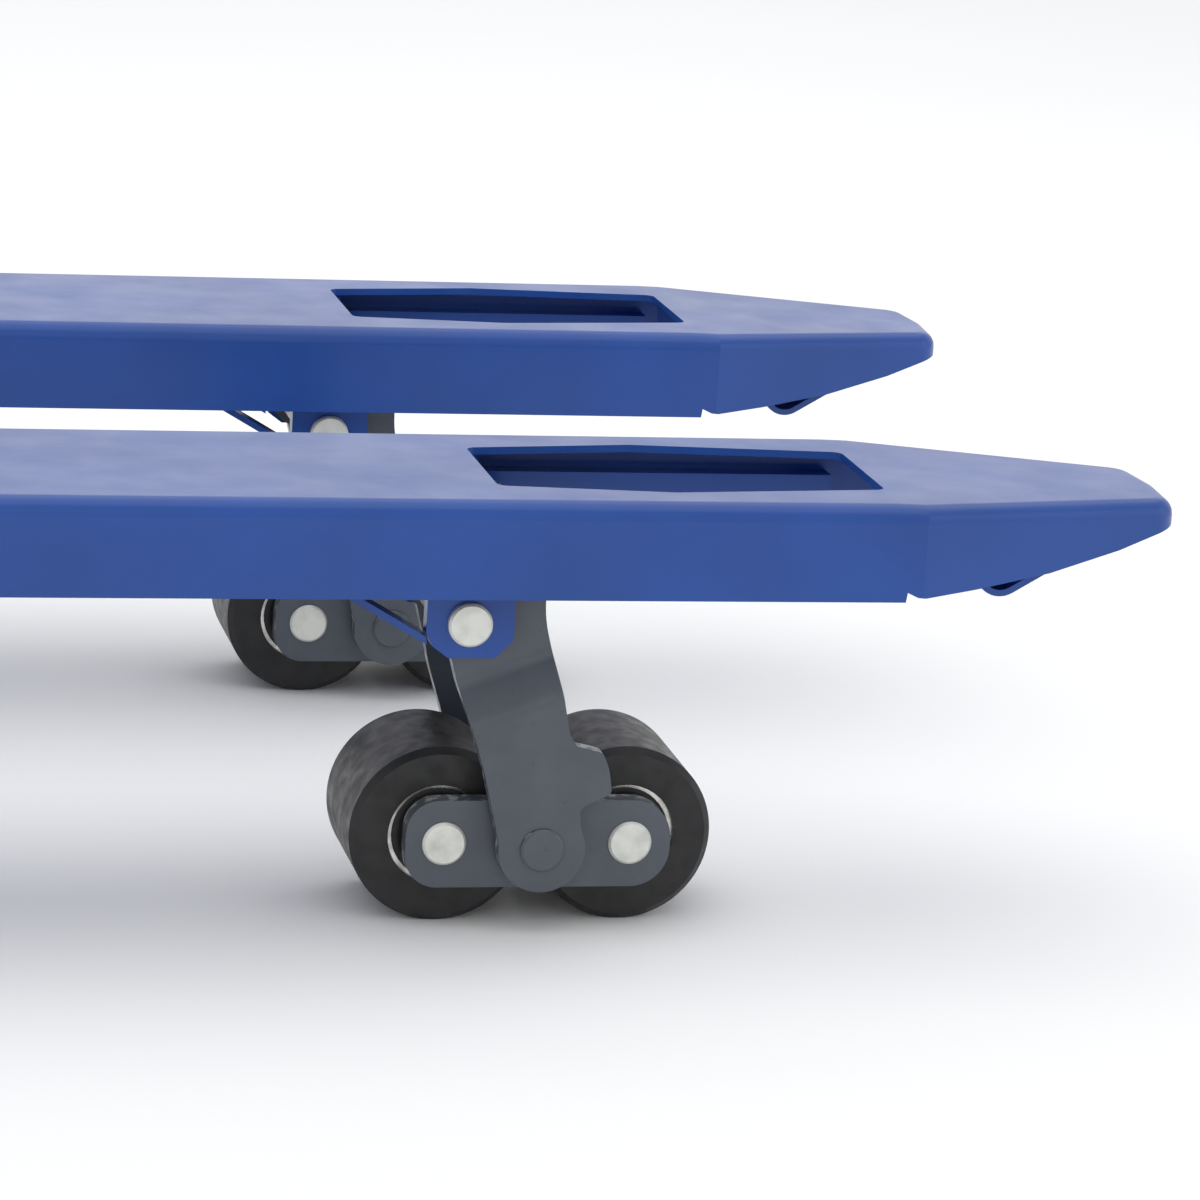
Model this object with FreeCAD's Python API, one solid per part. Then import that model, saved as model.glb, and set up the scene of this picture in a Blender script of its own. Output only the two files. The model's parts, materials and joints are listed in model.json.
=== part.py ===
import FreeCAD, Part
import math
import os

os.makedirs("parts", exist_ok=True)

# Hand pallet truck with the forks raised. Millimetres, +Z up, +X towards the fork tips,
# origin under the middle of the overall box. Rest pose: forks fully raised.

# overall
LIFT = 120.0
RUN_GAP = 0.05
PIN_CHAMFER = 1.0
SIDE_GAP = 2.0

# forks
FORK_LENGTH = 1150.0
FORK_SPACING = 400.0
FORK_WIDTH = 150.0
FORK_TOP = 205.0
FORK_DEPTH = 44.0
SHEET = 3.5
BEND_R = 8.0
NOSE_START = 203.0
NOSE_TAPER = 0.294
NOSE_CORNER_R = 14.0
NOSE_BOW = 3.0
NOSE_DROP_START = 190.0
NOSE_DROP = 4.5
TIP_FROM_HINGE = 336.0
NOTCH_X = 195.6
NOTCH_H = 4.5
WINDOW_START = 12.7
WINDOW_END = 192.0
WINDOW_PEAK_X = 92.0
WINDOW_END_HALF = 39.5
WINDOW_PEAK_HALF = 50.0
WINDOW_R = 5.0
BAR_INNER = 59.7
BAR_Z = 179.5
BAR_H = 10.0
BAR_REAR = 60.0
BAR_FRONT = 194.0
SKID_R = 12.0
SKID_T = 3.0
SKID_X = 248.5
SKID_Z = 168.5
SKID_HALF = 44.0

# hinge of the wheel frames
HINGE_Z = 145.2
HINGE_PIN_R = 10.0
HINGE_PIN_HALF = 59.0
EAR_INNER = 47.0
EAR_T = 8.0
RAMP_INNER = 40.0

# wheel frames, bogies and load rollers
PLATE_T = 8.0
PLATE_TOP_OUTER = 46.5
PLATE_LOW_OUTER = 59.0
JOGGLE_START = 27.5
JOGGLE_END = 45.0
JOGGLE_BEND = 12.0
PIVOT_DX = 38.0
PIVOT_R = 10.0
PIVOT_HALF = 61.2
ROD_PIN_R = 8.0
ROD_PIN_ARM = 40.0
HUB_R = 12.0
LINK_INNER = 38.0
LINK_T = 10.0
LINK_BELOW = 20.8
LINK_ABOVE = 20.0
LINK_REAR_REACH = 17.5
LINK_FRONT_REACH = 18.9
LINK_REAR_R = 15.0
LINK_FRONT_R = 18.0
ROLLER_R = 41.0
ROLLER_HALF = 35.0
ROLLER_PITCH = 86.0
AXLE_R = 10.0
AXLE_HALF = 49.7
BEARING_R = 23.5
BEARING_W = 14.0
BEARING_SET = 3.0
ROLLER_BORE_R = 18.0

# push rods
ROD_T = 12.0
ROD_H = 20.0
ROD_ROOM = 1.0
HOOK_FLOOR = 5.5
HOOK_WALL = 10.0
HOOK_REST = 8.5
HOOK_SLOT = 18.4
HOOK_TOP = 18.0
EYE_R = 14.0

# rocker and heel
HEEL_T = 6.0
ROCKER_FROM_HEEL = 50.0
ROCKER_Z = 255.0
ROCKER_SHAFT_R = 15.0
ROCKER_TUBE_R = 22.0
CRANK_T = 10.0
CRANK_GAP = 4.0
CRANK_PIN_R = 8.0
GUSSET_FROM_FORK = 36.0
GUSSET_T = 8.0

# steering unit
STEER_FROM_HEEL = 265.0
TUBE_BACK = 115.0
BED_PIN_FROM_STEER = 60.0
BED_PIN_Z = 195.0
BED_PIN_R = 8.0
BED_PIN_HALF = 48.0
BED_Z = 183.0
BED_T = 24.0
BED_R = 44.0
TONGUE_HALF = 28.0
STRAP_INNER = 33.0
STRAP_T = 10.0
STRAP_SLOT_R = 9.5
STRAP_WALL = 5.5
THRUST_T = 6.0
BOSS_R = 26.0
STEER_R = 80.0
STEER_INNER = 30.0
STEER_W = 50.0
STEER_HUB_R = 52.0
STEER_AXLE_R = 10.0
BLOCK_TOP = 300.0
BLOCK_HALF = 30.0
BLOCK_STEP_Z = 262.0
STEM_HALF = 26.0
STEM_BOTTOM = 58.0
LUG_INNER = 18.0
LUG_R = 16.0
CYL_R = 30.0
CYL_TOP = 380.0
RAM_R = 17.5
RAM_BOTTOM = 270.0
RAM_TOP = 508.0
SEAT_R = 24.0
SEAT_T = 12.0
CAP_T = 20.0
BORE_BOTTOM = 145.0
TANK_R = 46.0
TANK_TOP = 350.0
PLUNGER_DX = 87.0
PLUNGER_R = 9.0
PLUNGER_TOP = 305.2
HOUSING_R = 20.0
HOUSING_TOP = 245.0
HOUSING_BOTTOM = 180.0
SPRING_R = 16.0

# tower
MAST_INNER = 75.0
MAST_T = 8.0
TOWER_TOP = 540.0
TOWER_HALF = 85.0
SHOULDER_Z = 262.0
NECK_Z = 500.0
MAST_BOTTOM = 300.0
WEB_TOP = 440.0
WEB_Y = 118.0
ARM_REACH = 35.0

# tiller
TILLER_DX = 60.0
TILLER_PIN_R = 8.0
TILLER_PIN_HALF = 46.0
TILLER_Z = 300.0
CHEEK_INNER = 32.5
CHEEK_T = 9.0
TUBE_R = 16.0
TUBE_TOP = 1000.0
TUBE_FOOT = 54.0
SOCKET_TOP = 84.0
YOKE_HALF = 20.0
LOOP_R = 12.0
LOOP_TOP = 1198.0
CAM_R = 12.0
CAM_PIN_R = 5.0
CAM_X = -24.0
CAM_Z = 18.0
LEVER_Z = 1046.0
LEVER_PIN_R = 5.0
VALVE_STEM_R = 4.0
VALVE_ARM = 46.0
VALVE_Z = 245.0

# places worked out from the sizes above
V = FreeCAD.Vector
OVERALL_LENGTH = FORK_LENGTH + STEER_FROM_HEEL + TUBE_BACK + YOKE_HALF
TIP_X = OVERALL_LENGTH / 2
HEEL_X = TIP_X - FORK_LENGTH
HINGE_X = TIP_X - TIP_FROM_HINGE
STEER_X = HEEL_X - STEER_FROM_HEEL
ROCKER_X = HEEL_X - ROCKER_FROM_HEEL
BED_PIN_X = STEER_X + BED_PIN_FROM_STEER
FORK_Y = FORK_SPACING / 2
GUSSET_Y = FORK_Y + GUSSET_FROM_FORK
HALF = FORK_WIDTH / 2
FORK_BOTTOM = FORK_TOP - FORK_DEPTH
WALL_INNER = HALF - SHEET
TILLER_X = STEER_X - TUBE_BACK
PIVOT_X = HINGE_X + PIVOT_DX
FRAME_LENGTH = math.hypot(PIVOT_DX, HINGE_Z - ROLLER_R)
FRAME_RAISED = math.atan2(PIVOT_DX, HINGE_Z - ROLLER_R)
FRAME_LOWERED = math.acos((HINGE_Z - LIFT - ROLLER_R) / FRAME_LENGTH)
SWING = FRAME_LOWERED - FRAME_RAISED
ROD_PIN_DX = ROD_PIN_ARM * math.sin(SWING / 2)
ROD_PIN_DZ = ROD_PIN_ARM * math.cos(SWING / 2)
ROD_PIN_X = HINGE_X + ROD_PIN_DX
ROD_PIN_Z = HINGE_Z + ROD_PIN_DZ
STRAP_DX = ROCKER_X - BED_PIN_X
STRAP_DZ = ROCKER_Z - BED_PIN_Z
ROCK = math.atan2(STRAP_DZ, STRAP_DX)
STRAP_LENGTH = math.hypot(STRAP_DX, STRAP_DZ)
CRANK = ROD_PIN_DX / math.sin(ROCK)
CRANK_PIN_X = ROCKER_X + CRANK * math.sin(ROCK)
CRANK_PIN_Z = ROCKER_Z - CRANK * math.cos(ROCK)
TILLER_PIN_X = STEER_X - TILLER_DX
PLUNGER_X = STEER_X - PLUNGER_DX


def box(x0, x1, y0, y1, z0, z1):
    return Part.makeBox(x1 - x0, y1 - y0, z1 - z0, V(x0, y0, z0))


def prism_xz(points, y0, y1):
    ring = [V(x, y0, z) for x, z in points]
    ring.append(ring[0])
    return Part.Face(Part.makePolygon(ring)).extrude(V(0, y1 - y0, 0))


def prism_xy(points, z0, z1):
    ring = [V(x, y, z0) for x, y in points]
    ring.append(ring[0])
    return Part.Face(Part.makePolygon(ring)).extrude(V(0, 0, z1 - z0))


def prism_yz(points, x0, x1):
    ring = [V(x0, y, z) for y, z in points]
    ring.append(ring[0])
    return Part.Face(Part.makePolygon(ring)).extrude(V(x1 - x0, 0, 0))


def rod_y(x, z, r, y0, y1):
    return Part.makeCylinder(r, y1 - y0, V(x, y0, z), V(0, 1, 0))


def rod_z(x, y, r, z0, z1):
    return Part.makeCylinder(r, z1 - z0, V(x, y, z0), V(0, 0, 1))


def turned_y(x, z, profile):
    """Solid of revolution about the line along Y through (x, z); profile is (y, radius)."""
    ring = [V(x, y, z + r) for y, r in profile]
    ring.append(ring[0])
    return Part.Face(Part.makePolygon(ring)).revolve(V(x, 0, z), V(0, 1, 0), 360)


def pin_y(x, z, r, y0, y1):
    """Round bar along Y with both ends chamfered."""
    c = PIN_CHAMFER
    return turned_y(x, z, [(y0, 0.0), (y0, r - c), (y0 + c, r), (y1 - c, r), (y1, r - c), (y1, 0.0)])


def bent_edges(points, bend, gentle=None):
    """Closed outline through the points with every corner rounded; shallow corners may take a larger bend."""
    count = len(points)
    corners = []
    for i in range(count):
        here = points[i]
        u = (points[i - 1] - here)
        w = (points[(i + 1) % count] - here)
        room = 0.45 * min(u.Length, w.Length)
        u.normalize()
        w.normalize()
        half_angle = u.getAngle(w) / 2
        wanted = gentle if gentle and half_angle > math.radians(77) else bend
        back = min(wanted / math.tan(half_angle), room)
        r = back * math.tan(half_angle)
        middle = here + (u + w).normalize() * (r / math.sin(half_angle) - r)
        corners.append((here + u * back, middle, here + w * back))
    edges = []
    for i in range(count):
        a, m, b = corners[i]
        edges.append(Part.Arc(a, m, b).toShape())
        edges.append(Part.LineSegment(b, corners[(i + 1) % count][0]).toShape())
    return edges


def soft_prism_xz(points, y0, y1, bend, gentle=None):
    edges = bent_edges([V(x, y0, z) for x, z in points], bend, gentle)
    return Part.Face(Part.Wire(edges)).extrude(V(0, y1 - y0, 0))


def moved(shape, x=0.0, y=0.0, z=0.0):
    out = shape.copy()
    out.translate(V(x, y, z))
    return out


def mirrored(shape):
    return shape.mirror(V(0, 0, 0), V(0, 1, 0))


def fuse(shapes):
    out = shapes[0]
    for extra in shapes[1:]:
        out = out.fuse(extra)
    return out.removeSplitter()


def pair(shape):
    """The shape and its mirror image across the Y=0 plane, as one group."""
    return [shape, mirrored(shape)]


def both_forks(shapes):
    return [moved(s, y=side * FORK_Y) for s in shapes for side in (-1, 1)]


def save(name, shapes):
    if not isinstance(shapes, list):
        shapes = [shapes]
    solids = [s for shape in shapes for s in shape.Solids]
    if not solids:
        raise ValueError("no solid in " + name)
    for solid in solids:
        if not solid.isValid() or solid.Volume <= 0:
            raise ValueError("bad solid in " + name)
    out = solids[0] if len(solids) == 1 else Part.makeCompound(solids)
    out.exportStep("parts/" + name + ".step")


# ---------------------------------------------------------------- forks
def nose_plan(inset, heel_x):
    half = HALF - inset
    start = HINGE_X + NOSE_START
    tip = TIP_X - inset
    tip_half = half - NOSE_TAPER * (tip - NOSE_BOW - start)
    side = [(heel_x, half), (start, half), (tip - NOSE_BOW, tip_half)]
    return [(x, -y) for x, y in side] + [(tip, 0.0)] + list(reversed(side))


def fork_body(inset, heel_x, low):
    """Filled fork profile, drawn in by the inset, with bent upper edges."""
    top = FORK_TOP - inset
    body = prism_xy(nose_plan(inset, heel_x), low, top)
    corner_x = TIP_X - inset - NOSE_BOW
    upright = []
    for edge in body.Edges:
        a, b = edge.Vertexes[0].Point, edge.Vertexes[-1].Point
        level = abs(a.x - corner_x) < 0.01 and abs(b.x - corner_x) < 0.01
        if level and abs(a.z - b.z) > 1.0:
            upright.append(edge)
    body = body.makeFillet(NOSE_CORNER_R - inset, upright)
    drop_x = HINGE_X + NOSE_DROP_START
    far = TIP_X + 1.0
    drop_end = top - NOSE_DROP * (far - drop_x) / (TIP_X - drop_x)
    wedge = [(drop_x, top), (far, drop_end), (far, top + 5.0), (drop_x, top + 5.0)]
    body = body.cut(prism_xz(wedge, -FORK_WIDTH, FORK_WIDTH))
    rim = []
    for edge in body.Edges:
        box_ = edge.BoundBox
        crease = abs(box_.XMin - drop_x) < 0.01 and abs(box_.XMax - drop_x) < 0.01
        heel = abs(box_.XMax - heel_x) < 0.01
        if box_.ZMin > top - NOSE_DROP - 1.0 and not crease and not heel:
            rim.append(edge)
    return body.makeFillet(BEND_R - inset, rim)


def fork_shell():
    shell = fork_body(0.0, HEEL_X, FORK_BOTTOM).cut(fork_body(SHEET, HEEL_X - 1.0, FORK_BOTTOM - 5.0))
    under = [(NOTCH_X - 0.6, 0.0), (NOTCH_X, NOTCH_H), (NOTCH_X + 2, 0.8 * NOTCH_H)]
    under += [(NOTCH_X + 5, 0.49 * NOTCH_H), (NOTCH_X + 9, 0.4 * NOTCH_H), (230.0, 4.3), (268.0, 9.5)]
    under += [(304.0, 18.0), (327.0, 25.5), (340.0, 29.6)]
    under += [(345.0, -10.0), (NOTCH_X - 0.6, -10.0)]
    low = [(HINGE_X + x, FORK_BOTTOM + z) for x, z in under]
    shell = shell.cut(prism_xz(low, -FORK_WIDTH, FORK_WIDTH))
    upper = [(WINDOW_START, WINDOW_END_HALF), (WINDOW_PEAK_X, WINDOW_PEAK_HALF), (WINDOW_END, WINDOW_END_HALF)]
    plan = [(HINGE_X + x, y) for x, y in upper]
    plan += [(x, -y) for x, y in reversed(plan)]
    hole = prism_xy(plan, FORK_TOP - 3 * SHEET, FORK_TOP + SHEET)
    peak = HINGE_X + WINDOW_PEAK_X
    upright = [e for e in hole.Edges if e.BoundBox.ZLength > SHEET and e.BoundBox.XLength < 0.01]
    blunt = [e for e in upright if abs(e.BoundBox.XMin - peak) < 0.1]
    sharp = [e for e in upright if abs(e.BoundBox.XMin - peak) >= 0.1]
    hole = hole.makeFillet(WINDOW_R, sharp)
    peaks = [e for e in hole.Edges if e.BoundBox.ZLength > SHEET and abs(e.BoundBox.XMin - peak) < 0.1
             and e.BoundBox.XLength < 0.01]
    hole = hole.makeFillet(3 * WINDOW_R, peaks) if blunt else hole
    return shell.cut(hole)


fork = fork_shell()
save("fork_left", moved(fork, y=FORK_Y))
save("fork_right", moved(fork, y=-FORK_Y))

bar = box(HINGE_X - BAR_REAR, HINGE_X + BAR_FRONT, BAR_INNER, WALL_INNER, BAR_Z, BAR_Z + BAR_H)
save("window_bars", both_forks(pair(bar)))


def toe_skid():
    """Strip bent into a rounded skid under the nose."""
    def at(angle, r):
        a = math.radians(angle)
        return V(HINGE_X + SKID_X + r * math.cos(a), -SKID_HALF, SKID_Z + r * math.sin(a))
    rear, front = 190.0, 301.0
    lean = math.radians(10.0)
    climb = 0.6
    inner_r = SKID_R - SKID_T
    reach = 29.5
    turn = V(reach, 0, reach * climb)
    up = V(4.0, 0, 24.0)
    rise = 35.0
    back = V(-rise * math.tan(lean), 0, rise)
    o1, o2 = at(rear, SKID_R), at(front, SKID_R)
    i1, i2 = at(rear, inner_r), at(front, inner_r)
    edges = [Part.LineSegment(o1 + back, o1).toShape()]
    edges.append(Part.Arc(o1, at((rear + front) / 2, SKID_R), o2).toShape())
    edges.append(Part.LineSegment(o2, o2 + turn).toShape())
    edges.append(Part.LineSegment(o2 + turn, o2 + turn + up).toShape())
    shift = V(-SKID_T, 0, 0)
    edges.append(Part.LineSegment(o2 + turn + up, o2 + turn + up + shift).toShape())
    corner = V(i2.x, i2.y, i2.z) + V(reach - SKID_T / 2, 0, (reach - SKID_T / 2) * climb)
    edges.append(Part.LineSegment(o2 + turn + up + shift, corner).toShape())
    edges.append(Part.LineSegment(corner, i2).toShape())
    edges.append(Part.Arc(i2, at((rear + front) / 2, inner_r), i1).toShape())
    edges.append(Part.LineSegment(i1, i1 + back).toShape())
    edges.append(Part.LineSegment(i1 + back, o1 + back).toShape())
    face = Part.Face(Part.Wire(edges))
    solid = face.extrude(V(0, 2 * SKID_HALF, 0))
    kept = solid.cut(fork)
    return max(kept.Solids, key=lambda s: s.Volume)


save("toe_skids", both_forks([toe_skid()]))

weld_z = FORK_TOP - 2.0 - HINGE_Z
ear_side = [(-19.5, weld_z), (-19.5, -4.2), (-16.6, -10.3), (-9.0, -15.9), (12.3, -15.9), (20.4, -7.4)]
ear_side += [(20.4, weld_z)]
ear = soft_prism_xz([(HINGE_X + x, HINGE_Z + z) for x, z in ear_side], EAR_INNER, EAR_INNER + EAR_T, 2.0)
ear = ear.cut(rod_y(HINGE_X, HINGE_Z, HINGE_PIN_R, EAR_INNER - 1, EAR_INNER + EAR_T + 1)).cut(fork)
save("hinge_ears", both_forks(pair(ear)))
save("hinge_pins", both_forks([pin_y(HINGE_X, HINGE_Z, HINGE_PIN_R, -HINGE_PIN_HALF, HINGE_PIN_HALF)]))

ramp_side = [(-18.9, -9.7), (-19.5, -6.0), (-130.0, weld_z), (-137.0, weld_z)]
ramp = prism_xz([(HINGE_X + x, HINGE_Z + z) for x, z in ramp_side], RAMP_INNER, EAR_INNER + EAR_T).cut(fork)
ramp = ramp.cut(ear)
save("exit_ramps", both_forks(pair(max(ramp.Solids, key=lambda s: s.Volume))))

# ---------------------------------------------------------------- wheel frames
# outline of a plate: x from the hinge, z above the roller axles low down and above the hinge higher up
by_rollers = [(9.9, 35.3), (18.7, 0.1), (57.0, 0.0), (54.5, 17.8), (56.6, 20.6), (68.8, 26.2), (67.0, 38.0)]
by_rollers += [(63.5, 45.5), (58.3, 46.9), (51.8, 48.3), (47.8, 53.9)]
rear_edge = [(-6.5, -15.6), (-2.7, -29.5), (1.7, -43.3)]
front_edge = [(44.5, -34.0), (40.3, -15.5), (36.1, 0.6), (36.0, 24.8), (14.0, 36.8), (-12.0, 10.8)]
outline = [(HINGE_X + x, HINGE_Z + z) for x, z in rear_edge]
outline += [(HINGE_X + x, ROLLER_R + z) for x, z in by_rollers]
outline += [(HINGE_X + x, HINGE_Z + z) for x, z in front_edge]


def wheel_plate():
    flat = soft_prism_xz(outline, -HALF, HALF, 3.0, 70.0)
    flat = flat.fuse(rod_y(PIVOT_X, ROLLER_R, 2 * PIVOT_R, -HALF, HALF))
    flat = flat.fuse(rod_y(HINGE_X, HINGE_Z, 1.6 * HINGE_PIN_R, -HALF, HALF))
    flat = flat.fuse(rod_y(ROD_PIN_X, ROD_PIN_Z, 1.5 * ROD_PIN_R, -HALF, HALF))
    reach = 1.4 * FRAME_LENGTH
    outer = [(PLATE_TOP_OUTER, -reach), (PLATE_TOP_OUTER, JOGGLE_START)]
    outer += [(PLATE_LOW_OUTER, JOGGLE_END), (PLATE_LOW_OUTER, reach)]
    ring = outer + [(y - PLATE_T, s) for y, s in reversed(outer)]
    band = prism_yz([(y, HINGE_Z - s) for y, s in ring], HINGE_X - reach, HINGE_X + reach)
    creases = [e for e in band.Edges if e.BoundBox.XLength > reach]
    creases = [e for e in creases if abs(e.BoundBox.ZMin - HINGE_Z) < 2 * JOGGLE_END]
    band = band.makeFillet(JOGGLE_BEND, creases)
    band.rotate(V(HINGE_X, 0, HINGE_Z), V(0, -1, 0), math.degrees(FRAME_RAISED))
    plate = flat.common(band)
    plate = plate.cut(rod_y(HINGE_X, HINGE_Z, HINGE_PIN_R + RUN_GAP, 0, HALF))
    plate = plate.cut(rod_y(PIVOT_X, ROLLER_R, PIVOT_R, 0, HALF))
    plate = plate.cut(rod_y(ROD_PIN_X, ROD_PIN_Z, ROD_PIN_R, 0, HALF))
    return plate.removeSplitter()


plate = wheel_plate()
hub_half = PLATE_TOP_OUTER - PLATE_T
hub = rod_y(HINGE_X, HINGE_Z, HUB_R, -hub_half, hub_half)
hub = hub.cut(rod_y(HINGE_X, HINGE_Z, HINGE_PIN_R + RUN_GAP, -HALF, HALF))
rod_pin = pin_y(ROD_PIN_X, ROD_PIN_Z, ROD_PIN_R, -PLATE_TOP_OUTER, PLATE_TOP_OUTER)
stub = pin_y(PIVOT_X, ROLLER_R, PIVOT_R, LINK_INNER - 0.5, PIVOT_HALF)

AXLE_XS = (PIVOT_X - ROLLER_PITCH / 2, PIVOT_X + ROLLER_PITCH / 2)
link_lo, link_hi = ROLLER_R - LINK_BELOW, ROLLER_R + LINK_ABOVE
link_a, link_b = AXLE_XS[0] - LINK_REAR_REACH, AXLE_XS[1] + LINK_FRONT_REACH
link = box(link_a, link_b, LINK_INNER, LINK_INNER + LINK_T, link_lo, link_hi)
for end_x, end_r in ((link_a, LINK_REAR_R), (link_b, LINK_FRONT_R)):
    ends = [e for e in link.Edges if e.BoundBox.XLength < 0.01 and e.BoundBox.ZLength < 0.01]
    ends = [e for e in ends if abs(e.BoundBox.XMin - end_x) < 0.1]
    link = link.makeFillet(end_r, ends)
link = link.cut(rod_y(PIVOT_X, ROLLER_R, PIVOT_R + RUN_GAP, 0, HALF))
for axle_x in AXLE_XS:
    link = link.cut(rod_y(axle_x, ROLLER_R, AXLE_R, 0, HALF))

inset_y = ROLLER_HALF - BEARING_SET
seat_y = inset_y - BEARING_W
tyre_profile = [(-ROLLER_HALF, BEARING_R), (-ROLLER_HALF, ROLLER_R - 3), (-ROLLER_HALF + 3, ROLLER_R)]
tyre_profile += [(-y, r) for y, r in reversed(tyre_profile)]
tyre_profile += [(seat_y, BEARING_R), (seat_y, ROLLER_BORE_R), (-seat_y, ROLLER_BORE_R), (-seat_y, BEARING_R)]
race_in = AXLE_R + RUN_GAP
shield_r = BEARING_R - 2.0
cup = [(seat_y, race_in), (seat_y, BEARING_R), (inset_y, BEARING_R), (inset_y, shield_r)]
cup += [(inset_y - 1.5, shield_r), (inset_y - 1.5, race_in + 3), (inset_y, race_in + 3), (inset_y, race_in)]

for name, side in (("left", 1), ("right", -1)):
    y = side * FORK_Y
    save("wheel_frame_plates_" + name, [moved(s, y=y) for s in pair(plate)])
    save("wheel_frame_pins_" + name, [moved(s, y=y) for s in [hub, rod_pin] + pair(stub)])
    save("bogie_links_" + name, [moved(s, y=y) for s in pair(link)])
    axles = [pin_y(x, ROLLER_R, AXLE_R, y - AXLE_HALF, y + AXLE_HALF) for x in AXLE_XS]
    save("axle_pins_" + name, axles)
    for place, axle_x in (("rear", AXLE_XS[0]), ("front", AXLE_XS[1])):
        tyre = turned_y(axle_x, ROLLER_R, tyre_profile)
        save("roller_tyre_" + name + "_" + place, moved(tyre, y=y))
        bearing = turned_y(axle_x, ROLLER_R, cup)
        save("roller_bearings_" + name + "_" + place, [moved(s, y=y) for s in pair(bearing)])

# ---------------------------------------------------------------- push rods
half_h = ROD_H / 2
hook_in = HOOK_SLOT / 2
hook_out = hook_in + HOOK_WALL
hook_low = ROD_PIN_R + HOOK_FLOOR
bar_side = [(CRANK_PIN_X, CRANK_PIN_Z - half_h), (CRANK_PIN_X, CRANK_PIN_Z + half_h)]
bar_side += [(ROD_PIN_X - 40, ROD_PIN_Z + half_h), (ROD_PIN_X - hook_out, ROD_PIN_Z + HOOK_TOP)]
bar_side += [(ROD_PIN_X - hook_in, ROD_PIN_Z + HOOK_TOP), (ROD_PIN_X - hook_in, ROD_PIN_Z - HOOK_REST)]
bar_side += [(ROD_PIN_X + hook_in, ROD_PIN_Z - HOOK_REST), (ROD_PIN_X + hook_in, ROD_PIN_Z + HOOK_TOP)]
bar_side += [(ROD_PIN_X + hook_out, ROD_PIN_Z + HOOK_TOP), (ROD_PIN_X + hook_out, ROD_PIN_Z - 8.0)]
bar_side += [(ROD_PIN_X + hook_out - 7, ROD_PIN_Z - hook_low), (ROD_PIN_X - 8, ROD_PIN_Z - hook_low)]
bar_side += [(ROD_PIN_X - 14, ROD_PIN_Z - half_h)]
rod = prism_xz(bar_side, -ROD_T / 2, ROD_T / 2)
rod = rod.fuse(rod_y(CRANK_PIN_X, CRANK_PIN_Z, EYE_R, -ROD_T / 2, ROD_T / 2))
rod = rod.cut(rod_y(CRANK_PIN_X, CRANK_PIN_Z, CRANK_PIN_R + RUN_GAP, -ROD_T, ROD_T)).removeSplitter()
save("push_rod_left", moved(rod, y=FORK_Y))
save("push_rod_right", moved(rod, y=-FORK_Y))

# ---------------------------------------------------------------- rocker
shaft_half = GUSSET_Y + GUSSET_T + 6.0
save("rocker_shaft", pin_y(ROCKER_X, ROCKER_Z, ROCKER_SHAFT_R, -shaft_half, shaft_half))
tube_half = GUSSET_Y - SIDE_GAP
tube = rod_y(ROCKER_X, ROCKER_Z, ROCKER_TUBE_R, -tube_half, tube_half)
tube_solid = tube
tube = tube.cut(rod_y(ROCKER_X, ROCKER_Z, ROCKER_SHAFT_R + RUN_GAP, -shaft_half, shaft_half))
save("rocker_tube", tube)

near = (STRAP_LENGTH - STRAP_DX) + 1.0
strap_end = STRAP_SLOT_R + STRAP_WALL


def strap():
    y0, y1 = STRAP_INNER, STRAP_INNER + STRAP_T
    far_x = ROCKER_X - STRAP_LENGTH
    body = box(far_x, ROCKER_X, y0, y1, ROCKER_Z - strap_end, ROCKER_Z + strap_end)
    body = body.fuse(rod_y(far_x, ROCKER_Z, strap_end, y0, y1))
    body = body.fuse(rod_y(ROCKER_X, ROCKER_Z, ROCKER_TUBE_R + 8, y0, y1))
    slot = box(far_x - 0.5, far_x + near, y0 - 1, y1 + 1, ROCKER_Z - STRAP_SLOT_R, ROCKER_Z + STRAP_SLOT_R)
    for x in (far_x - 0.5, far_x + near):
        slot = slot.fuse(rod_y(x, ROCKER_Z, STRAP_SLOT_R, y0 - 1, y1 + 1))
    body = body.cut(slot)
    body.rotate(V(ROCKER_X, 0, ROCKER_Z), V(0, 1, 0), -math.degrees(ROCK))
    return body.cut(tube_solid).removeSplitter()


save("rocker_straps", pair(strap()))


def crank_plate():
    """Tapering arm, hub round the tube and a round end about the crank pin."""
    y0, y1 = 0.0, CRANK_T
    arm = prism_xz([(ROCKER_X - 26, ROCKER_Z), (ROCKER_X + 26, ROCKER_Z), (ROCKER_X + 13, ROCKER_Z - CRANK),
                    (ROCKER_X - 13, ROCKER_Z - CRANK)], y0, y1)
    arm = arm.fuse(rod_y(ROCKER_X, ROCKER_Z, 30.0, y0, y1))
    arm = arm.fuse(rod_y(ROCKER_X, ROCKER_Z - CRANK, 13.0, y0, y1))
    arm = arm.cut(rod_y(ROCKER_X, ROCKER_Z - CRANK, CRANK_PIN_R, y0 - 1, y1 + 1))
    arm.rotate(V(ROCKER_X, 0, ROCKER_Z), V(0, 1, 0), -math.degrees(ROCK))
    return arm


crank_in = ROD_T / 2 + CRANK_GAP
arms = []
for y in (FORK_Y + crank_in, FORK_Y - crank_in - CRANK_T):
    arms += pair(moved(crank_plate(), y=y).cut(tube_solid))
save("crank_arms", arms)
pin_out = crank_in + CRANK_T + 3.0
save("crank_pins", pair(pin_y(CRANK_PIN_X, CRANK_PIN_Z, CRANK_PIN_R, FORK_Y - pin_out, FORK_Y + pin_out)))

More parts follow.
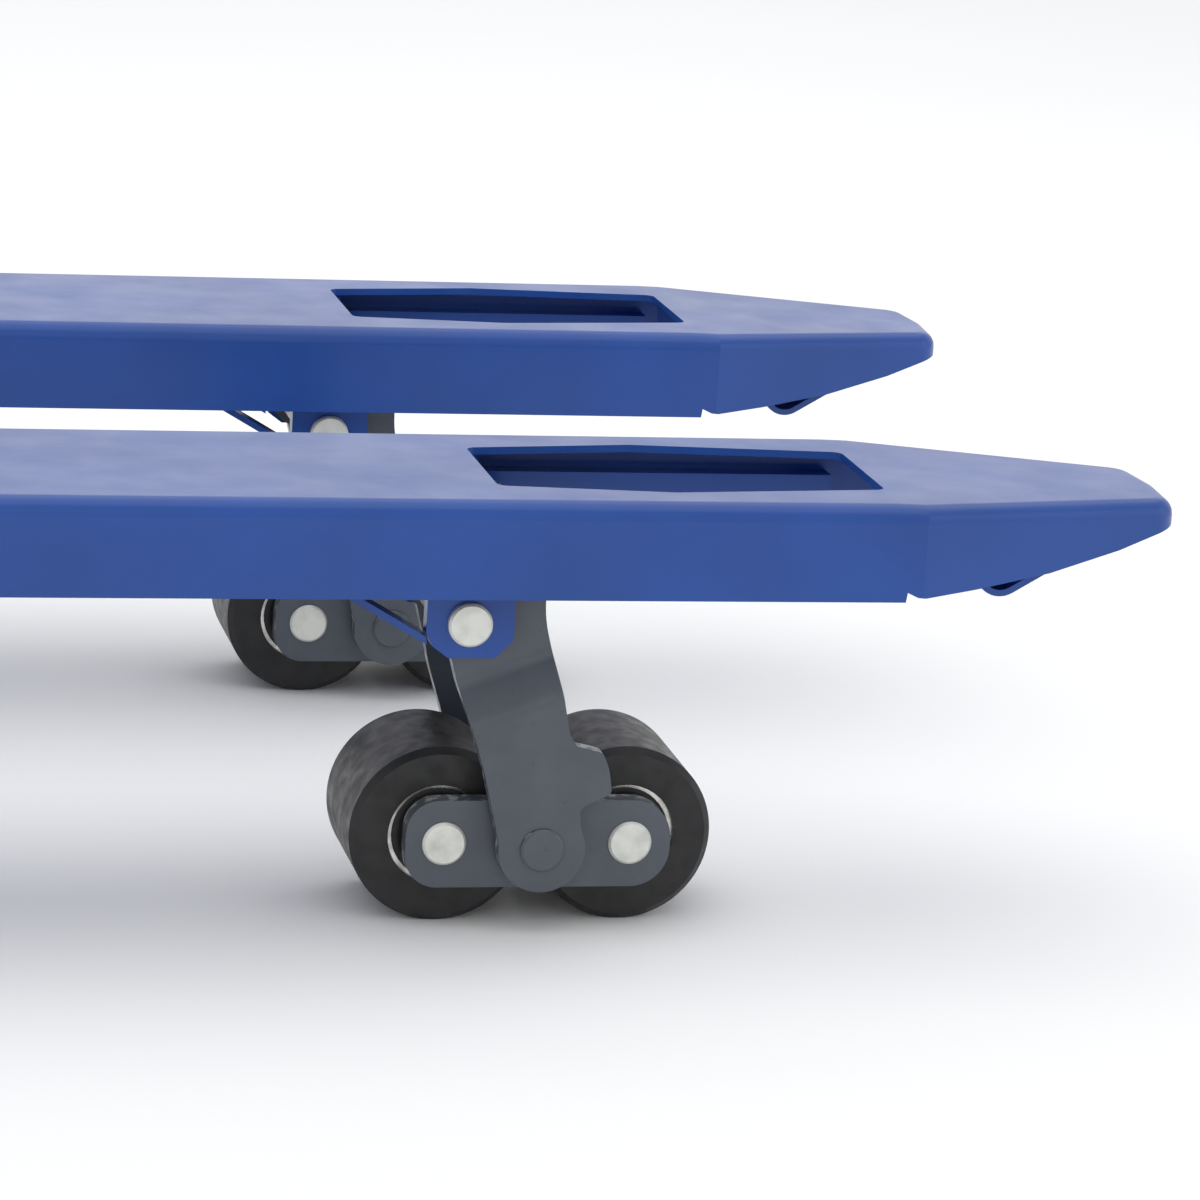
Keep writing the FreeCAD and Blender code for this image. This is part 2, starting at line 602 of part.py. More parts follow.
# ---------------------------------------------------------------- heel and tower
half_w = FORK_Y + HALF
plan = [(-half_w, FORK_BOTTOM), (half_w, FORK_BOTTOM), (half_w, SHOULDER_Z), (TOWER_HALF, NECK_Z)]
plan += [(TOWER_HALF, TOWER_TOP), (-TOWER_HALF, TOWER_TOP), (-TOWER_HALF, NECK_Z), (-half_w, SHOULDER_Z)]
heel = prism_yz(plan, HEEL_X - HEEL_T, HEEL_X)
gap = pin_out + CRANK_GAP
gap_top = max(FORK_TOP - SHEET - 0.5, CRANK_PIN_Z + half_h + ROD_ROOM)
for y in (-FORK_Y, FORK_Y):
    heel = heel.cut(box(HEEL_X - 10, HEEL_X + 10, y - gap, y + gap, FORK_BOTTOM - 1, gap_top))
save("heel_plate", heel)

back_x = HEEL_X - HEEL_T
gusset_side = [(back_x, ROCKER_Z - 45), (back_x, ROCKER_Z + 50), (ROCKER_X - 6, ROCKER_Z + 31)]
gusset_side += [(ROCKER_X - 28, ROCKER_Z + 13), (ROCKER_X - 28, ROCKER_Z - 15), (ROCKER_X - 8, ROCKER_Z - 29)]
gusset = soft_prism_xz(gusset_side, GUSSET_Y, GUSSET_Y + GUSSET_T, 5.0, 20.0)
gusset = gusset.cut(rod_y(ROCKER_X, ROCKER_Z, ROCKER_SHAFT_R, 0, shaft_half))
web_side = [(back_x, MAST_BOTTOM), (back_x, WEB_TOP), (back_x - 8, WEB_TOP), (back_x - 34, MAST_BOTTOM + 6)]
web = prism_xz(web_side, WEB_Y, WEB_Y + GUSSET_T)
web = web.common(prism_yz(plan, back_x - 60, back_x))
save("heel_gussets", pair(gusset) + pair(web))

arm_x = STEER_X - ARM_REACH
mast_side = [(back_x, MAST_BOTTOM), (back_x, TOWER_TOP), (arm_x, TOWER_TOP), (arm_x, TOWER_TOP - CAP_T)]
mast_side += [(STEER_X + 89, TOWER_TOP - 80)]
mast = soft_prism_xz(mast_side, MAST_INNER, MAST_INNER + MAST_T, 6.0, 40.0)
save("mast_sides", pair(mast))
save("top_cap", box(arm_x, back_x, -MAST_INNER, MAST_INNER, TOWER_TOP - CAP_T, TOWER_TOP))
save("thrust_seat", rod_z(STEER_X, 0, SEAT_R, RAM_TOP, RAM_TOP + SEAT_T))
save("ram", rod_z(STEER_X, 0, RAM_R, RAM_BOTTOM, RAM_TOP))

# ---------------------------------------------------------------- bed plate and steering unit
bed = rod_z(STEER_X, 0, BED_R, BED_Z, BED_Z + BED_T)
bed = bed.fuse(box(STEER_X, BED_PIN_X, -TONGUE_HALF, TONGUE_HALF, BED_Z, BED_Z + BED_T))
bed = bed.fuse(rod_y(BED_PIN_X, BED_PIN_Z, BED_T / 2, -TONGUE_HALF, TONGUE_HALF))
bed = bed.cut(rod_z(STEER_X, 0, BOSS_R + RUN_GAP, BED_Z - 1, BED_Z + BED_T + 1))
bed = bed.cut(rod_y(BED_PIN_X, BED_PIN_Z, BED_PIN_R, -HALF, HALF)).removeSplitter()
save("bed_plate", bed)
save("bed_plate_pin", pin_y(BED_PIN_X, BED_PIN_Z, BED_PIN_R, -BED_PIN_HALF, BED_PIN_HALF))
block_z = BED_Z + BED_T + THRUST_T
ring = rod_z(STEER_X, 0, BED_R - 4, BED_Z + BED_T, block_z - 0.3)
save("thrust_bearing", ring.cut(rod_z(STEER_X, 0, BOSS_R + 0.4, BED_Z, block_z + 1)))

low_top = BED_Z - 0.5
base = box(STEER_X - STEM_HALF, STEER_X + STEM_HALF, -TONGUE_HALF, TONGUE_HALF, STEM_BOTTOM, low_top)
base = base.fuse(rod_z(STEER_X, 0, BOSS_R, low_top, block_z))
base = base.fuse(box(STEER_X - 68, STEER_X + 40, -BLOCK_HALF, BLOCK_HALF, block_z, BLOCK_STEP_Z))
base = base.fuse(box(STEER_X - 36, STEER_X + 36, -BLOCK_HALF, BLOCK_HALF, BLOCK_STEP_Z, BLOCK_TOP))
lug = box(TILLER_PIN_X - LUG_R, STEER_X - 34, LUG_INNER, BLOCK_HALF, block_z + 20, TILLER_Z)
lug = lug.fuse(rod_y(TILLER_PIN_X, TILLER_Z, LUG_R, LUG_INNER, BLOCK_HALF))
base = fuse([base] + pair(lug))
base = base.cut(rod_z(STEER_X, 0, RAM_R + RUN_GAP, BORE_BOTTOM, BLOCK_TOP + 1))
base = base.cut(rod_y(STEER_X, STEER_R, STEER_AXLE_R, -HALF, HALF))
base = base.cut(rod_y(TILLER_PIN_X, TILLER_Z, TILLER_PIN_R, -HALF, HALF))
housing_bore = rod_z(PLUNGER_X, 0, PLUNGER_R + RUN_GAP, HOUSING_BOTTOM + 4, HOUSING_TOP + 1)
spring_room = rod_z(PLUNGER_X, 0, SPRING_R + 3, HOUSING_TOP, BLOCK_TOP + 20)
base = base.cut(rod_z(PLUNGER_X, 0, HOUSING_R, HOUSING_BOTTOM, HOUSING_TOP)).cut(spring_room)
save("pump_base", base.removeSplitter())
housing = rod_z(PLUNGER_X, 0, HOUSING_R, HOUSING_BOTTOM, HOUSING_TOP).cut(housing_bore)
save("plunger_housing", housing)
cylinder = rod_z(STEER_X, 0, CYL_R, BLOCK_TOP, CYL_TOP)
cylinder = cylinder.cut(rod_z(STEER_X, 0, RAM_R + RUN_GAP, BLOCK_TOP - 1, CYL_TOP + 1))
save("lift_cylinder", cylinder)
tank = rod_z(STEER_X, 0, TANK_R, BLOCK_TOP, TANK_TOP).cut(rod_z(STEER_X, 0, CYL_R, BLOCK_TOP - 1, TANK_TOP + 1))
save("reservoir", tank)
valve = box(STEER_X - 18, STEER_X + 20, BLOCK_HALF, 50.0, VALVE_Z - 17, VALVE_Z + 17)
valve = valve.fuse(rod_y(STEER_X, VALVE_Z, VALVE_STEM_R, 50.0, 62.0))
save("valve_block", valve)
axle_half = STEER_INNER + STEER_W + 6.0
save("steer_axle", rod_y(STEER_X, STEER_R, STEER_AXLE_R, -axle_half, axle_half))
cap = rod_y(STEER_X, STEER_R, 17.0, axle_half, axle_half + 5)
save("axle_caps", pair(cap))
save("tiller_pivot_pin", pin_y(TILLER_PIN_X, TILLER_Z, TILLER_PIN_R, -TILLER_PIN_HALF, TILLER_PIN_HALF))

far_y = STEER_INNER + STEER_W
rim = [(STEER_INNER, STEER_HUB_R), (STEER_INNER, STEER_R - 5), (STEER_INNER + 5, STEER_R)]
rim += [(far_y - 5, STEER_R), (far_y, STEER_R - 5), (far_y, STEER_HUB_R)]
core = [(STEER_INNER, STEER_AXLE_R + RUN_GAP), (STEER_INNER, 26.0), (STEER_INNER + 8, 30.0)]
core += [(STEER_INNER + 8, 44.0), (STEER_INNER, 46.0), (STEER_INNER, STEER_HUB_R), (far_y, STEER_HUB_R)]
core += [(far_y, 46.0), (far_y - 8, 44.0), (far_y - 8, 30.0), (far_y, 26.0), (far_y, STEER_AXLE_R + RUN_GAP)]
steer_tyre = turned_y(STEER_X, STEER_R, rim)
steer_hub = turned_y(STEER_X, STEER_R, core)
save("steer_tyre_left", steer_tyre)
save("steer_tyre_right", mirrored(steer_tyre))
save("steer_hub_left", steer_hub)
save("steer_hub_right", mirrored(steer_hub))

# ---------------------------------------------------------------- plunger
head_z = PLUNGER_TOP - 5.0
plunger = rod_z(PLUNGER_X, 0, PLUNGER_R, 226.0, head_z)
plunger = plunger.fuse(rod_z(PLUNGER_X, 0, SPRING_R, head_z, PLUNGER_TOP)).removeSplitter()
save("plunger", plunger)
sleeve = rod_z(PLUNGER_X, 0, SPRING_R - 0.5, HOUSING_TOP, head_z)
save("plunger_spring", sleeve.cut(rod_z(PLUNGER_X, 0, PLUNGER_R + 2.5, HOUSING_TOP - 1, head_z + 1)))

# ---------------------------------------------------------------- tiller
cheek_side = [(TILLER_PIN_X + 16, TILLER_Z - 6), (TILLER_PIN_X + 12, TILLER_Z + 14)]
cheek_side += [(TILLER_X + YOKE_HALF, TILLER_Z + 44), (TILLER_X + YOKE_HALF, TILLER_Z + SOCKET_TOP)]
cheek_side += [(TILLER_X - YOKE_HALF, TILLER_Z + SOCKET_TOP)]
cheek_side += [(TILLER_X - YOKE_HALF, TILLER_Z + 30), (TILLER_PIN_X - 8, TILLER_Z - 16)]
cheek = soft_prism_xz(cheek_side, CHEEK_INNER, CHEEK_INNER + CHEEK_T, 4.0, 30.0)
cheek = cheek.fuse(rod_y(TILLER_PIN_X, TILLER_Z, 18.0, CHEEK_INNER, CHEEK_INNER + CHEEK_T))
cheek = cheek.cut(rod_y(TILLER_PIN_X, TILLER_Z, TILLER_PIN_R + RUN_GAP, 0, HALF))
cam_x, cam_z = TILLER_PIN_X + CAM_X, TILLER_Z + CAM_Z
cheek = cheek.cut(rod_y(cam_x, cam_z, CAM_PIN_R, 0, HALF))
yoke_out = CHEEK_INNER + CHEEK_T
tube_foot = TILLER_Z + TUBE_FOOT
socket = box(TILLER_X - YOKE_HALF, TILLER_X + YOKE_HALF, -CHEEK_INNER, CHEEK_INNER,
             TILLER_Z + 50, TILLER_Z + SOCKET_TOP)
yoke = fuse(pair(cheek) + [socket])
yoke = yoke.cut(rod_z(TILLER_X, 0, TUBE_R, tube_foot, TILLER_Z + 90))
save("tiller_yoke", yoke)
cam = rod_y(cam_x, cam_z, CAM_R, -8.0, 8.0).fuse(rod_y(cam_x, cam_z, CAM_PIN_R, -yoke_out, yoke_out))
save("cam_roller", cam.removeSplitter())
save("tiller_tube", rod_z(TILLER_X, 0, TUBE_R, tube_foot, TUBE_TOP))


def loop_tube(points, radius, bend):
    """Round tube following a closed outline in the YZ plane, with bent corners."""
    edges = bent_edges([V(TILLER_X, y, z) for y, z in points], bend)
    first = edges[1].Vertexes[0].Point
    along = (edges[1].Vertexes[-1].Point - first).normalize()
    ring = Part.Wire(Part.makeCircle(radius, first, along))
    path = Part.Wire(edges[1:] + edges[:1])
    return path.makePipeShell([ring], True, True)


loop_points = [(-52.0, 1022.0), (52.0, 1022.0), (132.0, 1096.0), (132.0, 1150.0), (100.0, LOOP_TOP)]
loop_points += [(-100.0, LOOP_TOP), (-132.0, 1150.0), (-132.0, 1096.0)]
loop = loop_tube(loop_points, LOOP_R, 24.0)
neck = rod_z(TILLER_X, 0, TUBE_R + 4, TUBE_TOP - 40, 1030.0)
neck = neck.cut(rod_z(TILLER_X, 0, TUBE_R, TUBE_TOP - 50, TUBE_TOP))
prong = box(TILLER_X - 9, TILLER_X + 9, 15.0, 21.0, 1020.0, LEVER_Z)
prong = prong.fuse(rod_y(TILLER_X, LEVER_Z, 9.0, 15.0, 21.0))
prong = prong.cut(rod_y(TILLER_X, LEVER_Z, LEVER_PIN_R, 0, HALF))
lever_pin = rod_y(TILLER_X, LEVER_Z, LEVER_PIN_R, -23.0, 23.0)
save("handle_loop", fuse([loop, neck] + pair(prong) + [lever_pin]))

blade = [(-13.0, 4.0), (13.0, 4.0), (13.0, 40.0), (24.0, 62.0), (24.0, 84.0), (16.0, 94.0), (-16.0, 94.0)]
blade += [(-24.0, 84.0), (-24.0, 62.0), (-13.0, 40.0)]
hand = prism_yz([(y, LEVER_Z + z) for y, z in blade], TILLER_X - 4, TILLER_X + 4)
hand = hand.fuse(rod_y(TILLER_X, LEVER_Z, 9.0, -13.0, 13.0))
hand = hand.cut(rod_y(TILLER_X, LEVER_Z, LEVER_PIN_R + RUN_GAP, -HALF, HALF)).removeSplitter()
save("hand_lever", hand)

valve_end = STEER_X - VALVE_ARM
arm_side = [(valve_end, VALVE_Z - 5), (valve_end, VALVE_Z + 5), (STEER_X, VALVE_Z + 9), (STEER_X, VALVE_Z - 9)]
arm = prism_xz(arm_side, 51.0, 57.0)
arm = arm.fuse(rod_y(STEER_X, VALVE_Z, 10.0, 51.0, 57.0)).fuse(rod_y(valve_end, VALVE_Z, 8.0, 51.0, 57.0))
arm = arm.cut(rod_y(STEER_X, VALVE_Z, VALVE_STEM_R + RUN_GAP, 0, HALF))
save("valve_lever", arm.removeSplitter())
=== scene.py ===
"""Looks for a hand pallet truck, laid out as an add-on: blue forks, grey wheel frames, black rollers."""
import json
import math

import bmesh
import bpy
from mathutils import Matrix, Vector


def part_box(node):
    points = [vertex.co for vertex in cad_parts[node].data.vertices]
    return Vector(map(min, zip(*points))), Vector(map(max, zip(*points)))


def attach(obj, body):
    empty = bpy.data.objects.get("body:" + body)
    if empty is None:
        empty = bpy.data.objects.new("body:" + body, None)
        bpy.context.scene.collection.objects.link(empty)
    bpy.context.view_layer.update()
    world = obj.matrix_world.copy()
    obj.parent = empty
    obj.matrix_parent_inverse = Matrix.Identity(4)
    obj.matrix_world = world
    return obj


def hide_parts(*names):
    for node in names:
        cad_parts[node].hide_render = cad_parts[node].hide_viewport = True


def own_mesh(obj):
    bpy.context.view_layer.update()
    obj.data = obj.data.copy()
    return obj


bl_info = {
    "name": "Hand pallet truck dresser",
    "version": (1, 0, 0),
    "blender": (4, 5, 0),
    "location": "View3D > Sidebar > Pallet truck",
    "description": "Paints a hand pallet truck and adds its welds, spring, bolts and grips",
    "category": "Object",
}

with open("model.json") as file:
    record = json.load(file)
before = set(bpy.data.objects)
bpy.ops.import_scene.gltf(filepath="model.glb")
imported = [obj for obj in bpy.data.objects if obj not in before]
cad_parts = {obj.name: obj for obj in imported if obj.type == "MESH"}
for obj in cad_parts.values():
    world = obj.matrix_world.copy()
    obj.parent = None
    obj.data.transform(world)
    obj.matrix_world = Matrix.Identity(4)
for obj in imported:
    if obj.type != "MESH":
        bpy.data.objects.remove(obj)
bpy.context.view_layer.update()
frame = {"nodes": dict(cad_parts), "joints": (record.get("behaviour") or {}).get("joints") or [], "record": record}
NODES = frame["nodes"]
JOINTS = {joint["name"]: joint for joint in frame["joints"]}
MM = 0.001
NOISE = "ShaderNodeTexNoise"
RAMP = "ShaderNodeValToRGB"
BUMP = "ShaderNodeBump"
MATHS = "ShaderNodeMath"

# millimetres, unless a name says otherwise
SHARP_ANGLE = 35.0  # degrees
SEAL_SIDES = 48
SEAL_PROFILE = ((21.4, -1.4), (21.2, -0.5), (20.4, -0.2), (16.5, -0.3),
                (15.8, -0.8), (13.6, -0.9), (13.1, -1.4))  # radius and stand-off
WELD_WAIST = 0.84  # radius of a ripple's trough, as a share of its crest
WELD_END = 0.45  # radius at a bead's end, as a share of the full one
WELD_SWELL = 6  # how fast a bead grows from its end
WELD_SIDES = 8
WELD_STAND_OFF = 0.3
WELD_CORNER_GAP = 8.0
WELD_FOOT_GAP = 3.0
WELD_MAST_GAP = 5.0
WASHER_ROWS = ((0.0, 1.05), (0.18, 1.05), (0.20, 1.0))  # height and radius, as shares of the bolt size
HEAD_ROWS = ((0.19, 0.95), (0.76, 0.95), (0.86, 0.84), (0.88, 0.40))
WASHER_SIDES = 24
BOLT_SINK = 0.5
CAP_BOLT = 0.8  # this and the next three are shares of the bolt size
VALVE_BOLT = 0.45
TANK_SCREW = 0.55
BLOCK_PLUG = 0.7
CAP_BOLTS = ((0, 22), (0, -22), (24, 0), (-22, 0))  # from the steering axis
VALVE_BOLT_X = 30.0
VALVE_FACE_Y = 50.0
VALVE_BOLT_RISE = 11.0
TANK_BOLT = (30.0, 24.0)
BLOCK_BOLT_Z = 236.0
SPRING_STEPS = 28  # per turn
SPRING_SIDES = 10
SPRING_DWELL = 0.07  # cut off the climb at each end, as a share of its height, so the end turns lie flat
LOOP_TUBE_R = 12.0
GRIP_START = 14.0
GRIP_LENGTH = 68.0
GRIP_STEPS = 48
GRIP_SIDES = 24
GRIP_PLAIN = 4  # steps without ribs at each end
GRIP_R = 12.6
GRIP_RIB = 0.9
GRIP_COLLAR = 1.4
GRIP_LIP = 0.5
GRIP_TOP_GAP = 0.02  # under the top of the loop

# metres and watts
FLOOR_REACH = 14.0
SKY_COLOUR = (0.97, 0.98, 1.0, 1.0)
SKY_STRENGTH = 0.78
LIGHT_AIM = (0.35, 0.0, 0.12)
FILL_POWER = 8.0
CAMERA_PLACE = (0.02698, -2.29719, 0.66747)
CAMERA_TURN = (-12.981, -13.703, -3.463)  # yaw, pitch and roll in degrees


# ------------------------------------------------------------------ settings
class TruckPaint(bpy.types.PropertyGroup):
    """Colours of the finishes, as sRGB hex."""
    fork_blue: bpy.props.StringProperty(
        name="Fork blue", description="Powder coat on forks, tower and tiller", default="#1A4A9B")
    frame_grey: bpy.props.StringProperty(
        name="Frame grey", description="Paint on wheel frames and bogie links", default="#4C535D")
    roller_black: bpy.props.StringProperty(
        name="Roller black", description="Polyurethane of the load rollers", default="#141416")
    coat_roughness: bpy.props.FloatProperty(
        name="Coat roughness", description="How soft the reflections in the blue coat are",
        default=0.30, min=0.05, max=1.0, subtype="FACTOR")


class TruckDetail(bpy.types.PropertyGroup):
    """Sizes of the fitted pieces."""
    spring_wire: bpy.props.FloatProperty(
        name="Spring wire", description="Wire diameter of the plunger spring",
        default=0.0032, min=0.001, max=0.006, unit="LENGTH")
    spring_turns: bpy.props.IntProperty(
        name="Spring turns", description="Turns of the plunger spring", default=7, min=3, max=14)
    weld_leg: bpy.props.FloatProperty(
        name="Weld leg", description="Width of a fillet weld bead",
        default=0.005, min=0.002, max=0.01, unit="LENGTH")
    weld_ripple: bpy.props.FloatProperty(
        name="Weld ripple", description="Spacing of the ripples along a weld bead",
        default=0.0024, min=0.001, max=0.006, unit="LENGTH")
    bolt_size: bpy.props.FloatProperty(
        name="Bolt size", description="Shank diameter of the cap bolts",
        default=0.010, min=0.005, max=0.02, unit="LENGTH")


class TruckStage(bpy.types.PropertyGroup):
    """Floor, lights and camera."""
    lens: bpy.props.FloatProperty(
        name="Lens", description="Focal length on a 36 mm sensor", default=144.69, min=20.0, max=400.0)
    floor_shade: bpy.props.StringProperty(
        name="Floor shade", description="Colour of the floor", default="#FCFCFB")
    key_power: bpy.props.FloatProperty(
        name="Key light", description="Power of the large overhead light", default=62.0, min=0.0, max=5000.0,
        unit="POWER")
    back_power: bpy.props.FloatProperty(
        name="Back panel", description="Power of the panel that lays a sheen on the fork tops", default=29.0,
        min=0.0, max=5000.0, unit="POWER")


# ------------------------------------------------------------------ materials
def linear(code):
    """sRGB hex to linear RGBA."""
    channels = [int(code[i:i + 2], 16) / 255 for i in (1, 3, 5)]
    return tuple(c / 12.92 if c <= 0.04045 else ((c + 0.055) / 1.055) ** 2.4 for c in channels) + (1.0,)


def grey(value):
    return (value, value, value, 1.0)


def per_metre(size):
    """Scale of a pattern whose features are size mm across."""
    return 1000.0 / size


def add_node(tree, kind, settings=None, links=None):
    """Add a node. Settings are its properties, colour stops or input values; links join inputs to sockets."""
    node = tree.nodes.new(kind)
    for key, value in (settings or {}).items():
        if key == "stops":
            for stop, (position, colour) in zip(node.color_ramp.elements, value):
                stop.position = position
                stop.color = colour
        elif isinstance(key, str) and hasattr(node, key):
            setattr(node, key, value)
        else:
            node.inputs[key].default_value = value
    for key, socket in (links or {}).items():
        tree.links.new(socket, node.inputs[key])
    return node


def feed(tree, shader, links):
    """Join sockets to the shader's inputs."""
    for key, socket in links.items():
        tree.links.new(socket, shader.inputs[key])


def new_finish(name):
    """A material with its shader and its position in metres, ready to be filled."""
    material = bpy.data.materials.new(name)
    material.use_nodes = True
    tree = material.node_tree
    shader = tree.nodes["Principled BSDF"]
    place = add_node(tree, "ShaderNodeTexCoord").outputs["Object"]
    return material, tree, shader, place


def flank(tree):
    """1 on faces that look along the axles, 0 on cut edges and treads."""
    facing = add_node(tree, "ShaderNodeTexCoord").outputs["Normal"]
    split = add_node(tree, "ShaderNodeSeparateXYZ", None, {"Vector": facing}).outputs["Y"]
    return add_node(tree, MATHS, {"operation": "ABSOLUTE"}, {0: split}).outputs[0]


def powder_coat_blue(paint):
    # Polyester powder coat sprayed on sheet steel: deep blue, soft gloss, faint orange peel about 3 mm across.
    material, tree, shader, place = new_finish("powder_coat_blue")
    shader.inputs["IOR"].default_value = 1.5
    shader.inputs["Specular IOR Level"].default_value = 0.33
    shader.inputs["Coat Weight"].default_value = 0.25
    shader.inputs["Coat Roughness"].default_value = 0.16
    deep, full = linear("#16438E"), linear(paint.fork_blue)
    soft, softer = grey(paint.coat_roughness), grey(paint.coat_roughness + 0.10)
    clouds = add_node(tree, NOISE, {"Scale": per_metre(90.0), "Detail": 3.0}, {"Vector": place}).outputs["Fac"]
    colour = add_node(tree, RAMP, {"stops": ((0.35, deep), (0.70, full))}, {"Fac": clouds})
    patches = add_node(tree, NOISE, {"Scale": per_metre(35.0), "Detail": 4.0}, {"Vector": place}).outputs["Fac"]
    gloss = add_node(tree, RAMP, {"stops": ((0.35, soft), (0.70, softer))}, {"Fac": patches})
    peel = add_node(tree, NOISE, {"Scale": per_metre(3.0), "Detail": 1.5}, {"Vector": place}).outputs["Fac"]
    skin = add_node(tree, BUMP, {"Strength": 0.55, "Distance": 0.05 * MM}, {"Height": peel}).outputs["Normal"]
    feed(tree, shader, {"Base Color": colour.outputs["Color"], "Roughness": gloss.outputs["Color"],
                        "Normal": skin, "Coat Normal": skin})
    return material


def satin_enamel_grey(paint):
    # Wet-sprayed satin enamel on cut plate: blue grey, slightly blotchy, small dark scuffs where plates rub,
    # and chips of bare steel 2 to 3 mm across along the cut edges, where the paint is thinnest.
    material, tree, shader, place = new_finish("satin_enamel_grey")
    shader.inputs["IOR"].default_value = 1.5
    shader.inputs["Coat Weight"].default_value = 0.25
    shader.inputs["Coat Roughness"].default_value = 0.30
    dull, full = linear("#424851"), linear(paint.frame_grey)
    clouds = add_node(tree, NOISE, {"Scale": per_metre(26.0), "Detail": 4.0}, {"Vector": place}).outputs["Fac"]
    body = add_node(tree, RAMP, {"stops": ((0.30, dull), (0.72, full))}, {"Fac": clouds}).outputs["Color"]
    specks = add_node(tree, NOISE, {"Scale": per_metre(4.0), "Detail": 6.0}, {"Vector": place}).outputs["Fac"]
    scuffs = add_node(tree, RAMP, {"stops": ((0.66, grey(0.0)), (0.74, grey(0.35)))}, {"Fac": specks})
    scuffed = add_node(tree, "ShaderNodeMix", {"data_type": "RGBA", 7: linear("#2A2E34")},
                       {0: scuffs.outputs["Color"], 6: body}).outputs[2]
    flecks = add_node(tree, NOISE, {"Scale": per_metre(5.0), "Detail": 5.0}, {"Vector": place}).outputs["Fac"]
    chips = add_node(tree, RAMP, {"stops": ((0.54, grey(0.0)), (0.58, grey(0.8)))}, {"Fac": flecks})
    edges = add_node(tree, RAMP, {"stops": ((0.10, grey(1.0)), (0.60, grey(0.0)))}, {"Fac": flank(tree)})
    bare = add_node(tree, MATHS, {"operation": "MULTIPLY"},
                    {0: chips.outputs["Color"], 1: edges.outputs["Color"]}).outputs[0]
    chipped = add_node(tree, "ShaderNodeMix", {"data_type": "RGBA", 7: linear("#A7A9A5")},
                       {0: bare, 6: scuffed}).outputs[2]
    patches = add_node(tree, NOISE, {"Scale": per_metre(12.0), "Detail": 4.0}, {"Vector": place}).outputs["Fac"]
    gloss = add_node(tree, RAMP, {"stops": ((0.35, grey(0.30)), (0.70, grey(0.44)))}, {"Fac": patches})
    peel = add_node(tree, NOISE, {"Scale": per_metre(2.2), "Detail": 2.0}, {"Vector": place}).outputs["Fac"]
    skin = add_node(tree, BUMP, {"Strength": 0.6, "Distance": 0.06 * MM}, {"Height": peel}).outputs["Normal"]
    feed(tree, shader, {"Base Color": chipped, "Roughness": gloss.outputs["Color"],
                        "Normal": skin, "Coat Normal": skin})
    return material


def zinc_plated_steel():
    # Bright zinc on cut bar: pale, mottled like frost at a few millimetres, never mirror bright.
    material, tree, shader, place = new_finish("zinc_plated_steel")
    shader.inputs["Metallic"].default_value = 0.55
    dull, pale = linear("#C6C7C1"), linear("#E0E1DA")
    flakes = add_node(tree, NOISE, {"Scale": per_metre(9.0), "Detail": 6.0}, {"Vector": place}).outputs["Fac"]
    colour = add_node(tree, RAMP, {"stops": ((0.25, dull), (0.60, pale))}, {"Fac": flakes})
    gloss = add_node(tree, RAMP, {"stops": ((0.30, grey(0.56)), (0.70, grey(0.46)))}, {"Fac": flakes})
    frost = add_node(tree, NOISE, {"Scale": per_metre(1.2), "Detail": 3.0}, {"Vector": place}).outputs["Fac"]
    skin = add_node(tree, BUMP, {"Strength": 0.5, "Distance": 0.03 * MM}, {"Height": frost})
    feed(tree, shader, {"Base Color": colour.outputs["Color"], "Roughness": gloss.outputs["Color"],
                        "Normal": skin.outputs["Normal"]})
    return material


def polyurethane_black(paint):
    # Cast polyurethane turned on a lathe: near black, lighter on the tread with floor dust plus a painted sheen,
    # fine turning marks about 1 mm apart.
    material, tree, shader, place = new_finish("polyurethane_black")
    shader.inputs["IOR"].default_value = 1.5
    # 635F5B on the tread is floor dust plus a painted sheen; the flanks keep the clean black
    clean, paler_tone = linear(paint.roller_black), linear("#635F5B")
    tread = add_node(tree, RAMP, {"stops": ((0.35, grey(1.0)), (0.75, grey(0.04)))}, {"Fac": flank(tree)})
    wide = add_node(tree, "ShaderNodeMapping", {"Scale": (1.0, 0.5, 1.0)}, {"Vector": place}).outputs["Vector"]
    drift = add_node(tree, NOISE, {"Scale": per_metre(24.0), "Detail": 7.0}, {"Vector": wide}).outputs["Fac"]
    patches = add_node(tree, RAMP, {"stops": ((0.38, grey(0.10)), (0.72, grey(1.0)))}, {"Fac": drift})
    # painted sheen and dust together: only tread faces get the paler tone, in noisy patches
    tread_dust_and_sheen = add_node(tree, MATHS, {"operation": "MULTIPLY"},
                      {0: tread.outputs["Color"], 1: patches.outputs["Color"]}).outputs[0]
    colour = add_node(tree, RAMP, {"stops": ((0.0, clean), (1.0, paler_tone))}, {"Fac": tread_dust_and_sheen})
    rubs = add_node(tree, NOISE, {"Scale": per_metre(8.0), "Detail": 5.0}, {"Vector": place}).outputs["Fac"]
    gloss = add_node(tree, RAMP, {"stops": ((0.35, grey(0.38)), (0.65, grey(0.60)))}, {"Fac": rubs})
    lathe = {"Scale": (0.35, 1.6, 0.35)}
    turned = add_node(tree, "ShaderNodeMapping", lathe, {"Vector": place}).outputs["Vector"]
    marks = add_node(tree, NOISE, {"Scale": per_metre(1.2), "Detail": 3.0}, {"Vector": turned})
    skin = add_node(tree, BUMP, {"Strength": 0.5, "Distance": 0.12 * MM}, {"Height": marks.outputs["Fac"]})
    feed(tree, shader, {"Base Color": colour.outputs["Color"], "Roughness": gloss.outputs["Color"],
                        "Normal": skin.outputs["Normal"]})
    return material


